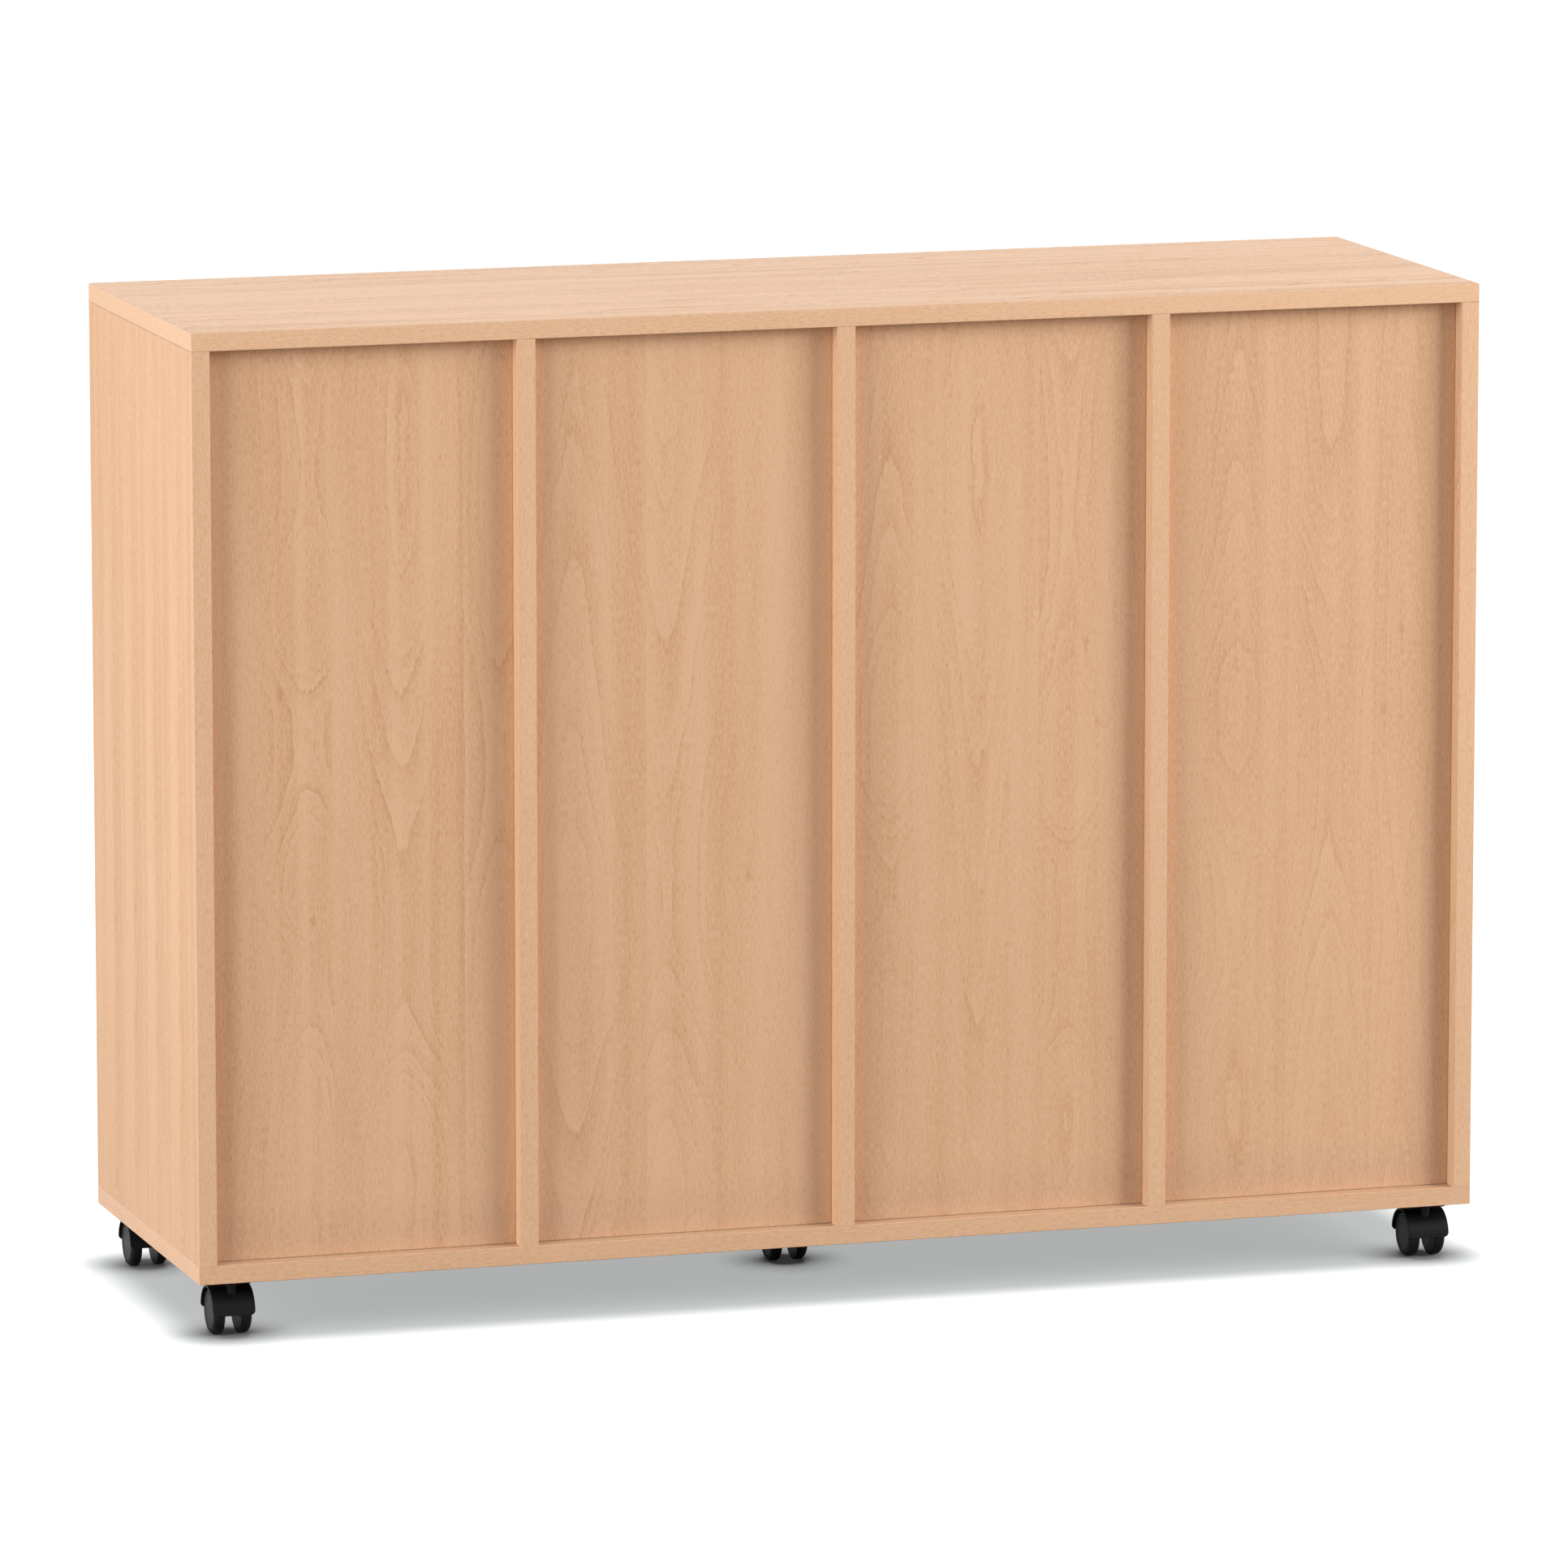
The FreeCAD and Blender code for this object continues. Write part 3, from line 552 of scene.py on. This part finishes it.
# %% Dress the edging and dowels
STRIP = Finish(tone=-0.08, rings=0.05, bands=0.06, gloss=0.40)
UPRIGHT_STRIP = STRIP._replace(tint=(1.02, 1.03, 1.04, 1.0))
TOP_STRIP = STRIP._replace(tone=-0.18, tint=(1.03, 1.05, 1.06, 1.0))
TOP_EDGE_SEED, BASE_EDGE_SEED, UPRIGHT_EDGE_SEED = 81.0, 83.0, 87.0
SHELF_EDGE_SEED, DOWEL_SEED = 89.0, 91.0

top_seam, base_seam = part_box("top_edging")[0].z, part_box("base_edging")[1].z
free_beech("top_edging", Z, [X, Y], TOP_EDGE_SEED, TOP_STRIP, [top_seam])
free_beech("base_edging", Z, [X, Y], BASE_EDGE_SEED, STRIP, [base_seam])
free_beech("upright_edging", X, [Z], UPRIGHT_EDGE_SEED, UPRIGHT_STRIP)
free_beech("shelf_edging", Z, [X], SHELF_EDGE_SEED, STRIP)
free_beech("dowels", X, [Z], DOWEL_SEED, STRIP)
print("joint lines of the edging at", round(top_seam, 3), round(base_seam, 3))

# %% [markdown]
# ## Caster mouldings and small steel
#
# Hoods, wheels and caps are black nylon mouldings with a fine spark-eroded grain. The grain is noise at
# about a third of a millimetre, used as bump, and a slower haze changes colour and gloss a little. Plates
# and screws have a black coat, made the same way. Axles and kingpins are zinc-plated steel, whose crystals
# give patches of slightly different brightness, and the shelf pins are nickel-plated.

# %% Moulded plastic and black coat
GRAIN_SIZE, GRAIN_HEIGHT = 0.00035, 0.0001
HAZE_SIZE = 0.012
MOULDING_GLOSS = 0.10


def blotches(tree, size, detail):
    """Soft noise in round blotches of the given size."""
    inputs = {0: part_place(tree), "Scale": 1 / size}
    where = add_node(tree, "ShaderNodeVectorMath", inputs, operation="SCALE").outputs[0]
    return noise(tree, where, detail)


def moulding(name, dark, pale, smooth, rough, bump):
    """Black plastic or paint: grain in the bump, soft haze in colour and gloss."""
    material, tree, shader = new_material(name)
    haze = blotches(tree, HAZE_SIZE, 3.0)
    share = stretch(tree, haze, NOISE_LOW, NOISE_HIGH, 0.0, 1.0)
    gloss = stretch(tree, haze, NOISE_LOW, NOISE_HIGH, smooth, rough)
    relief = {"Strength": bump, "Distance": GRAIN_HEIGHT, "Height": blotches(tree, GRAIN_SIZE, 1.0)}
    grain = add_node(tree, "ShaderNodeBump", relief)
    tree.links.new(blend(tree, share, dark, pale), shader.inputs["Base Color"])
    tree.links.new(gloss, shader.inputs["Roughness"])
    tree.links.new(grain.outputs[0], shader.inputs["Normal"])
    shader.inputs["Specular IOR Level"].default_value = MOULDING_GLOSS
    return material


HOOD_COLOURS = (0.0065, 0.0065, 0.007, 1), (0.009, 0.009, 0.0095, 1)
WHEEL_COLOURS = (0.0055, 0.0055, 0.006, 1), (0.008, 0.008, 0.0085, 1)
CAP_COLOURS = (0.018, 0.018, 0.019, 1), (0.022, 0.022, 0.023, 1)
COAT_COLOURS = (0.010, 0.010, 0.0105, 1), (0.016, 0.016, 0.0165, 1)

hood_black = moulding("hood_black", *HOOD_COLOURS, smooth=0.42, rough=0.52, bump=0.25)
wheel_black = moulding("wheel_black", *WHEEL_COLOURS, smooth=0.40, rough=0.52, bump=0.12)
cap_grey = moulding("cap_grey", *CAP_COLOURS, smooth=0.44, rough=0.52, bump=0.15)
black_coat = moulding("black_coat", *COAT_COLOURS, smooth=0.36, rough=0.48, bump=0.10)
print("mouldings ready")

# %% Plated steel
CRYSTAL_SIZE = 0.0025
CRYSTAL_ROUGHER = 0.12


def plated_steel(name, dark, pale, roughness):
    """Plated steel with patches of crystals."""
    material, tree, shader = new_material(name)
    crystals = blotches(tree, CRYSTAL_SIZE, 3.0)
    share = stretch(tree, crystals, NOISE_LOW, NOISE_HIGH, 0.0, 1.0)
    gloss = stretch(tree, crystals, NOISE_LOW, NOISE_HIGH, roughness, roughness + CRYSTAL_ROUGHER)
    tree.links.new(blend(tree, share, dark, pale), shader.inputs["Base Color"])
    tree.links.new(gloss, shader.inputs["Roughness"])
    shader.inputs["Metallic"].default_value = 1.0
    return material


ZINC_COLOURS = (0.52, 0.52, 0.51, 1), (0.63, 0.63, 0.62, 1)
NICKEL_COLOURS = (0.60, 0.59, 0.57, 1), (0.68, 0.67, 0.65, 1)

zinc = plated_steel("zinc_plate", *ZINC_COLOURS, roughness=0.34)
nickel = plated_steel("nickel_pin", *NICKEL_COLOURS, roughness=0.24)
print("plated steel ready")

# %% Dress the casters and pins
for name in nodes:
    if name.endswith("_hood"):
        dress(name, hood_black)
    elif "_wheel_" in name:
        dress(name, wheel_black)
    elif "_cap_" in name:
        dress(name, cap_grey)
    elif name in ("caster_plates", "caster_screws"):
        dress(name, black_coat)
    elif name.endswith("_axle") or name == "caster_kingpins":
        dress(name, zinc)
dress("shelf_pins", nickel)
print("caster nodes:", sum(name.startswith("caster_") for name in nodes))

# %% [markdown]
# ## Camera
#
# The photograph looks at the back of the unit from a height of about two and a half metres and far away,
# through a long lens. The place below was worked out from the corners of the carcass.

# %% Camera
CAMERA_PLACE = Vector((3.3804, 10.8959, 2.4368))
CAMERA_TURN = math.radians(17.2367)
CAMERA_DIP = math.radians(9.6088)
CAMERA_LENS = 255.26
CAMERA_REACH = 100.0

camera_data = bpy.data.cameras.new("camera")
camera_data.lens = CAMERA_LENS
camera_data.clip_end = CAMERA_REACH
camera = bpy.data.objects.new("camera", camera_data)
bpy.context.scene.collection.objects.link(camera)
gaze = Vector((-math.sin(CAMERA_TURN) * math.cos(CAMERA_DIP),
               -math.cos(CAMERA_TURN) * math.cos(CAMERA_DIP),
               -math.sin(CAMERA_DIP)))
camera.location = CAMERA_PLACE
camera.rotation_mode = "QUATERNION"
camera.rotation_quaternion = gaze.to_track_quat("-Z", "Y")
bpy.context.scene.camera = camera
print("camera looks along", [round(part, 3) for part in gaze])

# %% [markdown]
# ## Floor
#
# A pack shot stands on white paper. Real paper needs more light than the object to photograph white, so
# here the paper glows for the camera and for reflections alone, and throws little light back at the unit.
# Under the unit the glow is weaker and rises over a hand's width to full white outside, and around each
# wheel it drops further: a painted shadow. Together with the real shadow that the lamps cast on the paper,
# that gives the soft grey under the base.

# %% Floor sheet
FLOOR_SIZE = 60.0

floor_mesh = bpy.data.meshes.new("floor")
sheet = bmesh.new()
bmesh.ops.create_grid(sheet, x_segments=1, y_segments=1, size=FLOOR_SIZE / 2)
sheet.to_mesh(floor_mesh)
sheet.free()
floor = bpy.data.objects.new("floor", floor_mesh)
bpy.context.scene.collection.objects.link(floor)
print("floor:", FLOOR_SIZE, "m square")

# %% Distance from the unit
GLOW_INSET = 0.025


def seen_directly(tree):
    """1 for rays from the camera, from glossy surfaces and through clear ones, 0 for the rest."""
    rays = add_node(tree, "ShaderNodeLightPath").outputs
    mirrored = calc(tree, "MAXIMUM", rays["Is Glossy Ray"], rays["Is Transmission Ray"])
    return calc(tree, "MAXIMUM", rays["Is Camera Ray"], mirrored)


def beyond(tree, value, edge_low, edge_high):
    """How far a coordinate lies outside a range, or zero inside it."""
    under = calc(tree, "SUBTRACT", edge_low, value)
    over = calc(tree, "SUBTRACT", value, edge_high)
    return calc(tree, "MAXIMUM", calc(tree, "MAXIMUM", under, over), 0.0)


def away_from_unit(tree):
    """Distance on the floor from the unit's outline, drawn in a little."""
    xyz = part_axes(tree)
    aside = beyond(tree, xyz[X], low.x + GLOW_INSET, high.x - GLOW_INSET)
    ahead = beyond(tree, xyz[Y], low.y + GLOW_INSET, high.y - GLOW_INSET)
    squares = [calc(tree, "POWER", distance, 2.0) for distance in (aside, ahead)]
    return calc(tree, "SQRT", total(tree, *squares))


print("glow starts", 1000 * GLOW_INSET, "mm inside the outline")

# %% White paper
PAPER_SEEN, PAPER_BOUNCE = 0.20, 0.08
UNDER_GLOW, GLOW_REACH = 0.42, 0.070
CONTACT_REACH, CONTACT_FULL, CONTACT_GLOW = 0.055, 0.5, 0.05
PAPER_GLOW_COLOUR = (0.975, 1.0, 1.0, 1)

paper, tree, shader = new_material("white_paper")
# Painted shadow: the glow is lower under the unit and lower still close to each wheel.
glow = stretch(tree, away_from_unit(tree), 0.0, GLOW_REACH, UNDER_GLOW, 1.0, "SMOOTHSTEP")
contact = add_node(tree, "ShaderNodeAmbientOcclusion", {"Distance": CONTACT_REACH}).outputs["AO"]
glow = calc(tree, "MULTIPLY", glow, stretch(tree, contact, CONTACT_FULL, 1.0, CONTACT_GLOW, 1.0))
seen = seen_directly(tree)
tree.links.new(stretch(tree, seen, 0.0, 1.0, PAPER_BOUNCE, PAPER_SEEN), shader.inputs["Base Color"])
tree.links.new(calc(tree, "MULTIPLY", seen, glow), shader.inputs["Emission Strength"])
shader.inputs["Emission Color"].default_value = PAPER_GLOW_COLOUR
shader.inputs["Roughness"].default_value = 1.0
shader.inputs["Specular IOR Level"].default_value = 0.0
floor_mesh.materials.append(paper)
print("paper nodes:", len(tree.nodes))

# %% [markdown]
# ## Light
#
# Two large soft boxes stand left and right of the camera, a little above the unit, and each throws a soft
# shadow into the recesses from its own side. A third one stands beside the unit and lifts its end panel
# above the back. A fourth lights the open front, and is kept out of reflections, because it would make a
# glare on the top. The room itself gives an even glow. A disk's power is worked out from the light wanted
# on the unit, because a lamp thins out with the square of its distance.

# %% Room light
ROOM_LIGHT = 0.48

room = bpy.data.worlds.new("studio")
room.use_nodes = True
bpy.context.scene.world = room
tree = room.node_tree
background = tree.nodes["Background"]
background.inputs["Color"].default_value = WHITE
seen = seen_directly(tree)
tree.links.new(stretch(tree, seen, 0.0, 1.0, ROOM_LIGHT, 1.0), background.inputs["Strength"])
print("room light:", ROOM_LIGHT)

# %% Soft boxes
UNIT_CENTRE = Vector((0.0, 0.0, 0.5))
SIDE_CENTRE = Vector((high.x, 0.0, 0.6))
Lamp = namedtuple("Lamp", "name aim towards distance level width")
LAMPS = (
    Lamp("left_box", UNIT_CENTRE, (0.84, 0.38, 0.26), 5.2, 0.77, 3.6),
    Lamp("right_box", UNIT_CENTRE, (-0.80, 0.465, 0.32), 5.2, 0.94, 2.8),
    Lamp("end_box", SIDE_CENTRE, (0.93, -0.40, 0.25), 4.5, 0.185, 2.4),
    Lamp("front_box", UNIT_CENTRE, (0.0, -0.95, 0.25), 5.2, 0.52, 3.6),
)


def soft_box(lamp):
    """A round lamp. A white sheet at its aim, turned to it, renders as bright as its level."""
    data = bpy.data.lights.new(lamp.name, "AREA")
    data.shape = "DISK"
    data.size = lamp.width
    data.energy = lamp.level * math.pi ** 2 * lamp.distance ** 2
    box = bpy.data.objects.new(lamp.name, data)
    bpy.context.scene.collection.objects.link(box)
    direction = Vector(lamp.towards).normalized()
    box.location = lamp.aim + direction * lamp.distance
    box.rotation_mode = "QUATERNION"
    box.rotation_quaternion = direction.to_track_quat("Z", "Y")
    print(lamp.name, "at", [round(part, 2) for part in box.location], round(data.energy), "W")
    return box


boxes = {lamp.name: soft_box(lamp) for lamp in LAMPS}
boxes["front_box"].visible_glossy = False
bpy.context.scene.view_settings.view_transform = "Standard"
